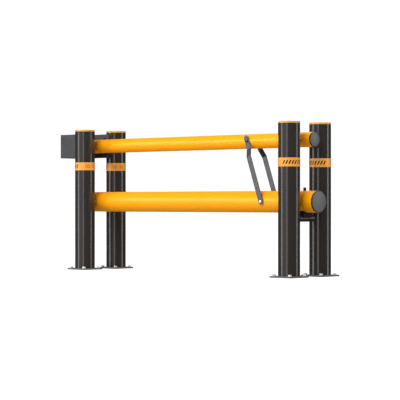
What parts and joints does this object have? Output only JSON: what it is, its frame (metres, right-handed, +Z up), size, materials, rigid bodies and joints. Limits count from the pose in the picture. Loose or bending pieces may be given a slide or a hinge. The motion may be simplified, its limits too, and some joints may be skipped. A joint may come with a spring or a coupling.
{
  "type": "parking barrier gate",
  "caption": "Twin-rail lifting barrier gate: two rails joined by a cranked link swing up between pairs of round bolted posts.",
  "frame": {"origin": "on the floor, at the middle of the gate's length and half-way between the front and rear posts", "axes": "+X along the rails from the pivot posts to the catch posts, +Y from the front posts to the rear posts, +Z up"},
  "size_m": [2.776, 0.545, 1.13],
  "materials": {
    "post_tube": "gloss",
    "base_plate": "satin powder coat",
    "yellow_trim": "satin",
    "bracket_steel": "satin powder coat",
    "hidden_steel": "turned",
    "zinc_fastener": "bright zinc",
    "dark_fastener": "black zinc",
    "rubber": "matt",
    "bush_plastic": "moulded",
    "rail_tube": "semi-gloss",
    "end_cap": "fine grain",
    "link_steel": "satin powder coat",
    "rest_steel": "satin powder coat"
  },
  "bodies": {
    "stand": {"post_front_left": "post_tube", "base_plate_front_left": "base_plate", "core_tube_front_left": "base_plate", "post_cap_front_left": "yellow_trim", "post_band_front_left": "yellow_trim", "post_front_right": "post_tube", "base_plate_front_right": "base_plate", "core_tube_front_right": "base_plate", "post_cap_front_right": "yellow_trim", "post_band_front_right": "yellow_trim", "post_rear_left": "post_tube", "base_plate_rear_left": "base_plate", "core_tube_rear_left": "base_plate", "post_cap_rear_left": "yellow_trim", "post_band_rear_left": "yellow_trim", "post_rear_right": "post_tube", "base_plate_rear_right": "base_plate", "core_tube_rear_right": "base_plate", "post_cap_rear_right": "yellow_trim", "post_band_rear_right": "yellow_trim", "pivot_bracket": "bracket_steel", "bracket_spacer_front": "hidden_steel", "bracket_spacer_rear": "hidden_steel", "bracket_backing_front": "hidden_steel", "bracket_backing_rear": "hidden_steel", "bracket_bolts": "dark_fastener", "stop_rod": "hidden_steel", "stop_sleeve": "rubber", "upper_pivot_bolt": "zinc_fastener", "upper_pivot_nut": "zinc_fastener", "lower_pivot_shaft": "hidden_steel", "shaft_sleeves": "hidden_steel", "rest_tube": "rest_steel", "rest_tie_rod": "hidden_steel", "rest_tie_nuts": "zinc_fastener", "rail_saddle": "rubber", "lock_spigot": "rest_steel"},
    "lower_arm": {"lower_rail": "rail_tube", "lower_end_cap": "end_cap", "lower_tail_cap": "end_cap", "lower_hub_tube": "hidden_steel", "lower_bushes": "bush_plastic", "lower_link_bolt": "zinc_fastener", "lower_link_nut": "zinc_fastener", "lower_link_washers": "zinc_fastener", "lower_link_sleeve": "hidden_steel"},
    "upper_arm": {"upper_rail": "rail_tube", "upper_end_cap": "end_cap", "upper_tail_cap": "end_cap", "counterweight": "hidden_steel", "upper_hub_tube": "hidden_steel", "upper_bushes": "bush_plastic", "upper_link_bolt": "dark_fastener", "upper_link_nut": "dark_fastener", "upper_link_washers": "dark_fastener", "upper_link_sleeve": "hidden_steel"},
    "link": {"link_bar_front": "link_steel", "link_bar_rear": "link_steel"}
  },
  "joints": [
    {"name": "lower_rail_lift", "type": "hinge", "parent": "stand", "child": "lower_arm", "pos_m": [-0.985, 0, 0.548], "axis": [0, -1, 0], "range_deg": [0, 90]},
    {"name": "upper_rail_lift", "type": "hinge", "parent": "stand", "child": "upper_arm", "pos_m": [-1.15, 0, 1], "axis": [0, -1, 0], "range_deg": [0, 90]},
    {"name": "link_swing", "type": "hinge", "parent": "upper_arm", "child": "link", "pos_m": [0.721, 0, 1], "axis": [0, -1, 0], "range_deg": [-90, 0]}
  ],
  "couplings": [
    {"joint": "upper_rail_lift", "follows": "lower_rail_lift", "ratio": 1},
    {"joint": "link_swing", "follows": "lower_rail_lift", "ratio": -1}
  ]
}
